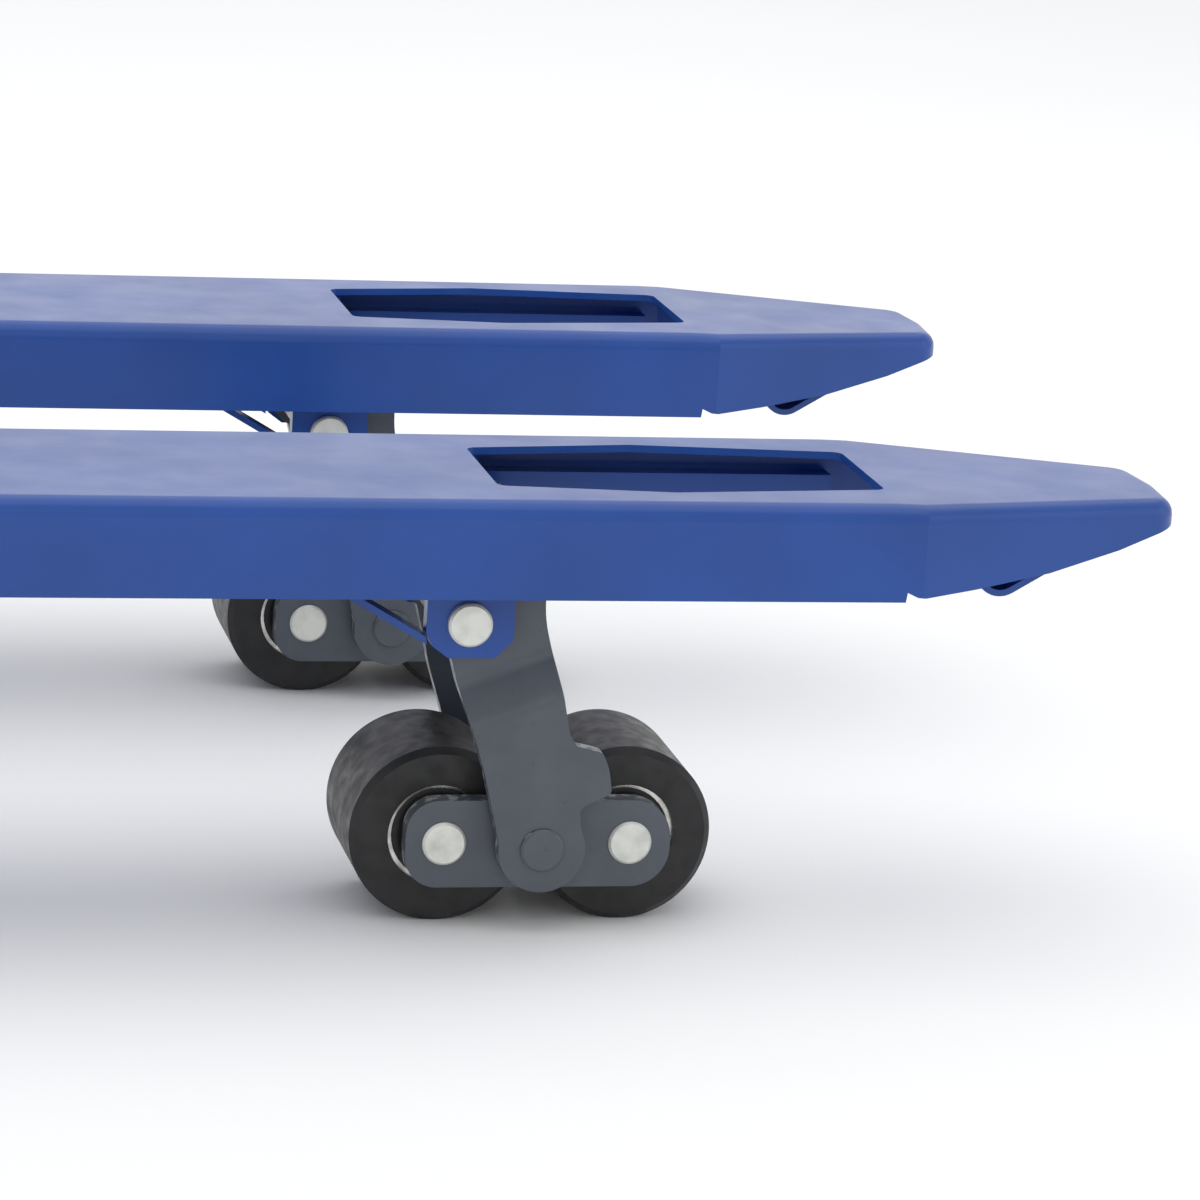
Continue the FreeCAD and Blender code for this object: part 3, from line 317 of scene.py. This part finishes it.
def ground_bearing_steel():
    # Hardened bearing steel, ground: bright, with a film of oil in places.
    material, tree, shader, place = new_finish("bearing_steel_ground")
    shader.inputs["Metallic"].default_value = 1.0
    dull, bright = linear("#BDBBB5"), linear("#E6E5E0")
    film = add_node(tree, NOISE, {"Scale": per_metre(6.0), "Detail": 4.0}, {"Vector": place}).outputs["Fac"]
    colour = add_node(tree, RAMP, {"stops": ((0.35, dull), (0.70, bright))}, {"Fac": film})
    gloss = add_node(tree, RAMP, {"stops": ((0.35, grey(0.34)), (0.70, grey(0.22)))}, {"Fac": film})
    feed(tree, shader, {"Base Color": colour.outputs["Color"], "Roughness": gloss.outputs["Color"]})
    return material


def black_primer():
    # Black primer on flat bar: flat, a little brown where it has worn thin.
    material, tree, shader, place = new_finish("black_primer")
    shader.inputs["Roughness"].default_value = 0.62
    black, thin = linear("#232428"), linear("#3A3735")
    along = add_node(tree, "ShaderNodeMapping", {"Scale": (0.3, 1.0, 1.0)}, {"Vector": place}).outputs["Vector"]
    rubs = add_node(tree, NOISE, {"Scale": per_metre(22.0), "Detail": 6.0}, {"Vector": along}).outputs["Fac"]
    colour = add_node(tree, RAMP, {"stops": ((0.45, black), (0.75, thin))}, {"Fac": rubs})
    grit = add_node(tree, NOISE, {"Scale": per_metre(2.0), "Detail": 3.0}, {"Vector": place}).outputs["Fac"]
    skin = add_node(tree, BUMP, {"Strength": 0.5, "Distance": 0.08 * MM}, {"Height": grit})
    feed(tree, shader, {"Base Color": colour.outputs["Color"], "Normal": skin.outputs["Normal"]})
    return material


def painted_casting():
    # Sand-cast iron under black enamel: grains about 1.5 mm show through the gloss.
    material, tree, shader, place = new_finish("cast_iron_black_enamel")
    dark, pale = linear("#17181B"), linear("#26282C")
    clouds = add_node(tree, NOISE, {"Scale": per_metre(30.0), "Detail": 4.0}, {"Vector": place}).outputs["Fac"]
    colour = add_node(tree, RAMP, {"stops": ((0.35, dark), (0.70, pale))}, {"Fac": clouds})
    gloss = add_node(tree, RAMP, {"stops": ((0.35, grey(0.34)), (0.70, grey(0.50)))}, {"Fac": clouds})
    sand = add_node(tree, NOISE, {"Scale": per_metre(1.5), "Detail": 3.0}, {"Vector": place}).outputs["Fac"]
    skin = add_node(tree, BUMP, {"Strength": 0.7, "Distance": 0.25 * MM}, {"Height": sand})
    feed(tree, shader, {"Base Color": colour.outputs["Color"], "Roughness": gloss.outputs["Color"],
                        "Normal": skin.outputs["Normal"]})
    return material


def hard_chrome():
    # Hard chrome on a ground ram: mirror with faint lengthwise wipe marks of oil.
    material, tree, shader, place = new_finish("hard_chrome")
    shader.inputs["Metallic"].default_value = 1.0
    shader.inputs["Base Color"].default_value = linear("#D9DADD")
    along = add_node(tree, "ShaderNodeMapping", {"Scale": (1.0, 1.0, 0.1)}, {"Vector": place}).outputs["Vector"]
    wipes = add_node(tree, NOISE, {"Scale": per_metre(5.0), "Detail": 3.0}, {"Vector": along}).outputs["Fac"]
    gloss = add_node(tree, RAMP, {"stops": ((0.35, grey(0.08)), (0.70, grey(0.20)))}, {"Fac": wipes})
    feed(tree, shader, {"Roughness": gloss.outputs["Color"]})
    return material


def tyre_rubber():
    # Vulcanised solid rubber: dark grey with floor dust worked into the tread, fine mould texture.
    material, tree, shader, place = new_finish("vulcanised_rubber")
    clean, paler_tone = linear("#1C1C1D"), linear("#3B3A38")
    dust = add_node(tree, NOISE, {"Scale": per_metre(18.0), "Detail": 7.0}, {"Vector": place}).outputs["Fac"]
    colour = add_node(tree, RAMP, {"stops": ((0.40, clean), (0.75, paler_tone))}, {"Fac": dust})
    gloss = add_node(tree, RAMP, {"stops": ((0.40, grey(0.62)), (0.75, grey(0.80)))}, {"Fac": dust})
    mould = add_node(tree, NOISE, {"Scale": per_metre(1.4), "Detail": 4.0}, {"Vector": place}).outputs["Fac"]
    skin = add_node(tree, BUMP, {"Strength": 0.6, "Distance": 0.15 * MM}, {"Height": mould})
    feed(tree, shader, {"Base Color": colour.outputs["Color"], "Roughness": gloss.outputs["Color"],
                        "Normal": skin.outputs["Normal"]})
    return material


def cast_aluminium():
    # Die-cast aluminium wheel centre: light grey, soft grain about 1 mm, no polish.
    material, tree, shader, place = new_finish("aluminium_die_cast")
    shader.inputs["Metallic"].default_value = 1.0
    shader.inputs["Roughness"].default_value = 0.46
    dull, pale = linear("#9A9C9E"), linear("#BDBFC0")
    clouds = add_node(tree, NOISE, {"Scale": per_metre(12.0), "Detail": 5.0}, {"Vector": place}).outputs["Fac"]
    colour = add_node(tree, RAMP, {"stops": ((0.30, dull), (0.70, pale))}, {"Fac": clouds})
    grains = add_node(tree, NOISE, {"Scale": per_metre(1.0), "Detail": 3.0}, {"Vector": place}).outputs["Fac"]
    skin = add_node(tree, BUMP, {"Strength": 0.5, "Distance": 0.10 * MM}, {"Height": grains})
    feed(tree, shader, {"Base Color": colour.outputs["Color"], "Normal": skin.outputs["Normal"]})
    return material


def grip_plastic():
    # Moulded polypropylene on the loop and lever: black, leather-like mould grain about 1.8 mm.
    material, tree, shader, place = new_finish("polypropylene_grained")
    shader.inputs["Roughness"].default_value = 0.52
    dark, pale = linear("#161719"), linear("#232427")
    clouds = add_node(tree, NOISE, {"Scale": per_metre(25.0), "Detail": 3.0}, {"Vector": place}).outputs["Fac"]
    colour = add_node(tree, RAMP, {"stops": ((0.35, dark), (0.70, pale))}, {"Fac": clouds})
    cells = add_node(tree, "ShaderNodeTexVoronoi", {"Scale": per_metre(1.8)}, {"Vector": place})
    skin = add_node(tree, BUMP, {"Strength": 0.5, "Distance": 0.12 * MM}, {"Height": cells.outputs["Distance"]})
    feed(tree, shader, {"Base Color": colour.outputs["Color"], "Normal": skin.outputs["Normal"]})
    return material


def nitrile_seal():
    # Nitrile rubber lip seal: black, slightly greasy, fine moulded texture about 1 mm.
    material, tree, shader, place = new_finish("nitrile_rubber_seal")
    shader.inputs["Roughness"].default_value = 0.5
    dark, pale = linear("#151516"), linear("#222224")
    clouds = add_node(tree, NOISE, {"Scale": per_metre(6.0), "Detail": 3.0}, {"Vector": place}).outputs["Fac"]
    colour = add_node(tree, RAMP, {"stops": ((0.35, dark), (0.70, pale))}, {"Fac": clouds})
    mould = add_node(tree, NOISE, {"Scale": per_metre(1.0), "Detail": 2.0}, {"Vector": place}).outputs["Fac"]
    skin = add_node(tree, BUMP, {"Strength": 0.5, "Distance": 0.04 * MM}, {"Height": mould})
    feed(tree, shader, {"Base Color": colour.outputs["Color"], "Normal": skin.outputs["Normal"]})
    return material


def floor_finish(shade):
    # Matt painted studio floor, faintly uneven.
    material, tree, shader, place = new_finish("studio_floor_paint")
    shader.inputs["Roughness"].default_value = 0.85
    pale = linear(shade)
    worn = tuple(c * 0.985 for c in pale[:3]) + (1.0,)
    clouds = add_node(tree, NOISE, {"Scale": per_metre(800.0), "Detail": 2.0}, {"Vector": place}).outputs["Fac"]
    colour = add_node(tree, RAMP, {"stops": ((0.3, worn), (0.7, pale))}, {"Fac": clouds})
    feed(tree, shader, {"Base Color": colour.outputs["Color"]})
    return material


# ------------------------------------------------------------------ mesh helpers
def piece_from(bm, name, body, material):
    """Turn a bmesh into a named piece that rides on a body and takes a slot's finish."""
    bmesh.ops.recalc_face_normals(bm, faces=bm.faces)
    mesh = bpy.data.meshes.new(name)
    bm.to_mesh(mesh)
    bm.free()
    mesh.materials.append(material)
    mesh.polygons.foreach_set("use_smooth", [True] * len(mesh.polygons))
    mesh.set_sharp_from_angle(angle=math.radians(SHARP_ANGLE))
    piece = bpy.data.objects.new(name, mesh)
    bpy.context.scene.collection.objects.link(piece)
    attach(piece, body)
    return piece


def tube_along(bm, points, radii, sides=12, closed=False):
    """Skin a row of rings along points; radii gives one radius per point."""
    count = len(points)
    rings = []
    for i, point in enumerate(points):
        ahead = points[(i + 1) % count] if closed or i < count - 1 else point
        behind = points[i - 1] if closed or i > 0 else point
        along = (Vector(ahead) - Vector(behind)).normalized()
        side = along.orthogonal().normalized() if i == 0 else (side - along * side.dot(along)).normalized()
        lift = along.cross(side)
        ring = []
        for k in range(sides):
            a = 2 * math.pi * k / sides
            ring.append(bm.verts.new(Vector(point) + (side * math.cos(a) + lift * math.sin(a)) * radii[i]))
        rings.append(ring)
    spans = count if closed else count - 1
    for i in range(spans):
        here, there = rings[i], rings[(i + 1) % count]
        for k in range(sides):
            n = (k + 1) % sides
            bm.faces.new((here[k], here[n], there[n], there[k]))
    if not closed:
        bm.faces.new(list(reversed(rings[0])))
        bm.faces.new(rings[-1])


def weld_line(bm, start, end, leg, ripple):
    """Rippled bead between two points."""
    start, end = Vector(start), Vector(end)
    length = (end - start).length
    steps = max(4, int(length / ripple) * 2)
    points, radii = [], []
    for i in range(steps + 1):
        t = i / steps
        points.append(start.lerp(end, t))
        taper = min(1.0, WELD_END + WELD_SWELL * min(t, 1 - t))
        radii.append(leg * 0.5 * taper * (1.0 if i % 2 else WELD_WAIST))
    tube_along(bm, points, radii, WELD_SIDES)


def weld_ring(bm, centre, radius, axis_y, leg, ripple):
    """Rippled bead round a tube whose axis is along Y."""
    steps = int(2 * math.pi * radius / ripple) // 2 * 2
    points, radii = [], []
    for i in range(steps):
        a = 2 * math.pi * i / steps
        points.append((centre[0] + radius * math.cos(a), axis_y, centre[2] + radius * math.sin(a)))
        radii.append(leg * 0.5 * (1.0 if i % 2 else WELD_WAIST))
    tube_along(bm, points, radii, WELD_SIDES, closed=True)


def stack_rings(bm, seat, rows, sides, size):
    """Skin rings of the given heights and radii and close the last one."""
    before = None
    for height, radius in rows:
        ring = []
        for k in range(sides):
            a = 2 * math.pi * k / sides
            spot = Vector((math.cos(a) * radius, math.sin(a) * radius, height)) * size
            ring.append(bm.verts.new(seat @ spot))
        if before:
            for k in range(sides):
                n = (k + 1) % sides
                bm.faces.new((before[k], before[n], ring[n], ring[k]))
        before = ring
    bm.faces.new(before)


def hex_bolt(bm, at, direction, size):
    """Hexagon head with a washer and a domed top, standing on a face."""
    turn = Vector((0, 0, 1)).rotation_difference(Vector(direction)).to_matrix().to_4x4()
    seat = Matrix.Translation(Vector(at)) @ turn
    stack_rings(bm, seat, WASHER_ROWS, WASHER_SIDES, size)
    stack_rings(bm, seat, HEAD_ROWS, 6, size)


def wear(name, material):
    """Give a carried-over solid its finish."""
    slots = NODES[name].data.materials
    if len(slots) == 0:
        slots.append(material)
    for i in range(len(slots)):
        slots[i] = material


def finish_of(node):
    """The material that a carried-over solid wears."""
    return NODES[node].data.materials[0]


# ------------------------------------------------------------------ operators
class PaintTruck(bpy.types.Operator):
    """Make every finish and give it to the solids that wear it"""
    bl_idname = "pallet_truck.paint"
    bl_label = "Paint the truck"

    def execute(self, context):
        paint = context.scene.truck_paint
        finishes = {
            "blue_paint": powder_coat_blue(paint), "grey_paint": satin_enamel_grey(paint),
            "zinc_steel": zinc_plated_steel(), "dark_steel": black_primer(),
            "roller_black": polyurethane_black(paint), "bearing_steel": ground_bearing_steel(),
            "pump_black": painted_casting(), "hard_chrome": hard_chrome(), "rubber_tread": tyre_rubber(),
            "hub_cast": cast_aluminium(), "grip_black": grip_plastic()}
        for part in frame["record"]["subparts"]:
            wear(part["node"], finishes[part["material_slot"]])
        return {"FINISHED"}


class SealBearings(bpy.types.Operator):
    """Press a black lip seal into the face of every load roller bearing"""
    bl_idname = "pallet_truck.seals"
    bl_label = "Seal the bearings"

    def execute(self, context):
        black = nitrile_seal()
        for joint in frame["joints"]:
            if not joint["name"].startswith("roller_"):
                continue
            body = joint["child"]
            where = joint["pos_m"]
            low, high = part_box(body.replace("roller_", "roller_bearings_", 1))
            bm = bmesh.new()
            for y, way in ((low[1], -1), (high[1], 1)):
                rings = []
                for radius, depth in SEAL_PROFILE:
                    ring = []
                    for k in range(SEAL_SIDES):
                        a = 2 * math.pi * k / SEAL_SIDES
                        ring.append(bm.verts.new((where[0] + radius * MM * math.cos(a), y + way * depth * MM,
                                                  where[2] + radius * MM * math.sin(a))))
                    rings.append(ring)
                for here, there in zip(rings, rings[1:]):
                    for k in range(SEAL_SIDES):
                        n = (k + 1) % SEAL_SIDES
                        bm.faces.new((here[k], here[n], there[n], there[k]))
            piece_from(bm, body + "_seals", body, black)
        return {"FINISHED"}


class WeldTruck(bpy.types.Operator):
    """Run weld beads along the seams of the tower, the forks and the rocker"""
    bl_idname = "pallet_truck.weld"
    bl_label = "Weld the seams"

    def execute(self, context):
        detail = context.scene.truck_detail
        leg, ripple = detail.weld_leg, detail.weld_ripple
        blue = finish_of("fork_left")
        bm = bmesh.new()
        for name in ("fork_left", "fork_right"):
            low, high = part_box(name)
            x = low[0] + WELD_STAND_OFF * MM
            near, far = low[1] + WELD_CORNER_GAP * MM, high[1] - WELD_CORNER_GAP * MM
            weld_line(bm, (x, near, high[2]), (x, far, high[2]), leg, ripple)
            y = min(low[1], high[1], key=abs)  # the side that faces the other fork
            foot, head = low[2] + WELD_FOOT_GAP * MM, high[2] - WELD_CORNER_GAP * MM
            weld_line(bm, (x, y, foot), (x, y, head), leg, ripple)
        low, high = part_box("mast_sides")
        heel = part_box("heel_plate")[0][0]
        for y in (low[1], high[1]):
            foot, head = low[2] + WELD_MAST_GAP * MM, high[2] - WELD_MAST_GAP * MM
            weld_line(bm, (heel, y, foot), (heel, y, head), leg, ripple)
        piece_from(bm, "tower_weld_beads", "fork_frame", blue)

        bm = bmesh.new()
        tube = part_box("rocker_tube")
        centre = [(a + b) / 2 for a, b in zip(*tube)]
        radius = (tube[1][2] - tube[0][2]) / 2
        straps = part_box("rocker_straps")[1][1]
        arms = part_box("crank_arms")[1][1]
        for y in (straps, arms, -straps, -arms):
            weld_ring(bm, centre, radius, y, leg, ripple)
        piece_from(bm, "rocker_weld_beads", "rocker", blue)
        return {"FINISHED"}


class WindSpring(bpy.types.Operator):
    """Wind the plunger's return spring in place of the plain one"""
    bl_idname = "pallet_truck.spring"
    bl_label = "Wind the spring"

    def execute(self, context):
        detail = context.scene.truck_detail
        low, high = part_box("plunger_spring")
        cx, cy = (low[0] + high[0]) / 2, (low[1] + high[1]) / 2
        half = detail.spring_wire / 2
        radius = (high[0] - low[0]) / 2 - half
        steps = detail.spring_turns * SPRING_STEPS
        points = []
        for i in range(steps + 1):
            t = i / steps
            climb = min(1.0, max(0.0, (t * (1.0 + 2 * SPRING_DWELL) - SPRING_DWELL)))
            a = 2 * math.pi * detail.spring_turns * t
            z = low[2] + half + (high[2] - low[2] - 2 * half) * climb
            points.append((cx + radius * math.cos(a), cy + radius * math.sin(a), z))
        bm = bmesh.new()
        tube_along(bm, points, [half] * len(points), SPRING_SIDES)
        spring = piece_from(bm, "plunger_coil_spring", "pump", finish_of("plunger_spring"))
        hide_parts("plunger_spring")
        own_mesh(spring)
        return {"FINISHED"}


class BoltTruck(bpy.types.Operator):
    """Fit bolts to the top cap, the axle caps, the valve block and the reservoir"""
    bl_idname = "pallet_truck.bolts"
    bl_label = "Fit the bolts"

    def execute(self, context):
        size = context.scene.truck_detail.bolt_size
        zinc = finish_of("hinge_pins")
        sink = BOLT_SINK * MM
        bm = bmesh.new()
        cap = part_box("top_cap")
        steer = JOINTS["steer"]["pos_m"]
        for dx, dy in CAP_BOLTS:
            hex_bolt(bm, (steer[0] + dx * MM, dy * MM, cap[1][2] - sink), (0, 0, 1), size * CAP_BOLT)
        piece_from(bm, "top_cap_bolts", "fork_frame", zinc)
        bm = bmesh.new()
        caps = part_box("axle_caps")
        axle = [(a + b) / 2 for a, b in zip(*caps)]
        for y, way in ((caps[1][1], 1), (caps[0][1], -1)):
            hex_bolt(bm, (axle[0], y - way * sink, axle[2]), (0, way, 0), size)
        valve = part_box("valve_block")
        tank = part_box("reservoir")
        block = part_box("pump_base")
        middle = (valve[0][2] + valve[1][2]) / 2
        for dz in (-VALVE_BOLT_RISE, VALVE_BOLT_RISE):
            spot = (valve[0][0] + VALVE_BOLT_X * MM, VALVE_FACE_Y * MM - sink, middle + dz * MM)
            hex_bolt(bm, spot, (0, 1, 0), size * VALVE_BOLT)
        spot = (steer[0] + TANK_BOLT[0] * MM, TANK_BOLT[1] * MM, tank[1][2] - sink)
        hex_bolt(bm, spot, (0, 0, 1), size * TANK_SCREW)
        hex_bolt(bm, (block[1][0] - sink, 0, BLOCK_BOLT_Z * MM), (1, 0, 0), size * BLOCK_PLUG)
        piece_from(bm, "pump_bolts", "pump", zinc)
        return {"FINISHED"}


class GripTruck(bpy.types.Operator):
    """Sleeve both halves of the loop's top bar with ribbed grips"""
    bl_idname = "pallet_truck.grips"
    bl_label = "Fit the grips"

    def execute(self, context):
        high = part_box("handle_loop")[1]
        centre_x = JOINTS["hand_lever_turn"]["pos_m"][0]
        bar_z = high[2] - LOOP_TUBE_R * MM
        ends = (0, GRIP_STEPS)
        collars = (1, 2, GRIP_STEPS - 1, GRIP_STEPS - 2)
        bm = bmesh.new()
        for way in (1, -1):
            points, radii = [], []
            for i in range(GRIP_STEPS + 1):
                along = GRIP_START + GRIP_LENGTH * i / GRIP_STEPS
                points.append((centre_x, way * along * MM, bar_z))
                ribbed = GRIP_PLAIN <= i <= GRIP_STEPS - GRIP_PLAIN and (i // 2) % 2
                radius = GRIP_R + (GRIP_RIB if ribbed else 0.0) + (GRIP_COLLAR if i in collars else 0.0)
                radii.append((radius - (GRIP_LIP if i in ends else 0.0)) * MM)
            tube_along(bm, points, radii, GRIP_SIDES)
        # the sleeves are flush with the top of the loop
        for vert in bm.verts:
            vert.co.z = min(vert.co.z, high[2] - GRIP_TOP_GAP * MM)
        piece_from(bm, "loop_grips", "tiller", finish_of("handle_loop"))
        return {"FINISHED"}


class SetStage(bpy.types.Operator):
    """Lay the floor, hang the lights and place the camera"""
    bl_idname = "pallet_truck.stage"
    bl_label = "Set the stage"

    def execute(self, context):
        scene = context.scene
        settings = scene.truck_stage
        bm = bmesh.new()
        signs = ((-1, -1), (1, -1), (1, 1), (-1, 1))
        bm.faces.new([bm.verts.new((x * FLOOR_REACH, y * FLOOR_REACH, 0)) for x, y in signs])
        mesh = bpy.data.meshes.new("studio_floor")
        bm.to_mesh(mesh)
        bm.free()
        mesh.materials.append(floor_finish(settings.floor_shade))
        floor = bpy.data.objects.new("studio_floor", mesh)
        scene.collection.objects.link(floor)

        world = bpy.data.worlds.new("studio_world")
        world.use_nodes = True
        sky = world.node_tree.nodes["Background"]
        sky.inputs["Color"].default_value = SKY_COLOUR
        sky.inputs["Strength"].default_value = SKY_STRENGTH
        scene.world = world

        aim = Vector(LIGHT_AIM)
        lights = (("overhead_softbox", (0.4, 0.4, 3.4), (5.0, 5.0), settings.key_power),
                  ("back_panel", (2.2, 7.5, 2.6), (7.0, 3.6), settings.back_power),
                  ("front_fill", (-0.9, -4.2, 1.6), (3.5, 2.0), FILL_POWER),
                  ("tip_side_fill", (3.4, -1.2, 1.1), (2.0, 2.0), FILL_POWER))
        for name, place, size, power in lights:
            data = bpy.data.lights.new(name, "AREA")
            data.shape = "RECTANGLE"
            data.size, data.size_y = size
            data.energy = power
            lamp = bpy.data.objects.new(name, data)
            lamp.location = place
            lamp.rotation_euler = (aim - Vector(place)).to_track_quat("-Z", "Y").to_euler()
            scene.collection.objects.link(lamp)

        data = bpy.data.cameras.new("camera")
        data.sensor_width = 36.0
        data.lens = settings.lens
        data.clip_end = 60.0
        camera = bpy.data.objects.new("camera", data)
        yaw, pitch, roll = (math.radians(a) for a in CAMERA_TURN)
        turn = Matrix.Rotation(yaw, 3, "Z") @ Matrix.Rotation(pitch, 3, "X") @ Matrix.Rotation(roll, 3, "Y")
        right, ahead, up = turn.col[0], turn.col[1], turn.col[2]
        pose = Matrix((right, up, -ahead)).transposed().to_4x4()
        pose.translation = Vector(CAMERA_PLACE)
        camera.matrix_world = pose
        scene.collection.objects.link(camera)
        scene.camera = camera
        scene.view_settings.view_transform = "Standard"
        return {"FINISHED"}


class TruckPanel(bpy.types.Panel):
    """Lists the truck's operators"""
    bl_idname = "VIEW3D_PT_pallet_truck"
    bl_label = "Pallet truck"
    bl_space_type = "VIEW_3D"
    bl_region_type = "UI"
    bl_category = "Pallet truck"

    def draw(self, context):
        for operator in OPERATORS:
            self.layout.operator(operator.bl_idname)


SETTINGS = (("truck_paint", TruckPaint), ("truck_detail", TruckDetail), ("truck_stage", TruckStage))
OPERATORS = (SetStage, PaintTruck, SealBearings, WeldTruck, WindSpring, BoltTruck, GripTruck)


def register():
    for _, group in SETTINGS:
        bpy.utils.register_class(group)
    for operator in OPERATORS:
        bpy.utils.register_class(operator)
    bpy.utils.register_class(TruckPanel)
    for name, group in SETTINGS:
        setattr(bpy.types.Scene, name, bpy.props.PointerProperty(type=group))


def unregister():
    for name, _ in SETTINGS:
        delattr(bpy.types.Scene, name)
    for cls in (TruckPanel,) + OPERATORS:
        bpy.utils.unregister_class(cls)
    for _, group in SETTINGS:
        bpy.utils.unregister_class(group)


def main():
    register()
    bpy.ops.pallet_truck.stage()
    bpy.ops.pallet_truck.paint()
    bpy.ops.pallet_truck.seals()
    bpy.ops.pallet_truck.weld()
    bpy.ops.pallet_truck.spring()
    bpy.ops.pallet_truck.bolts()
    bpy.ops.pallet_truck.grips()
    bpy.context.view_layer.update()


if __name__ == "__main__":
    main()
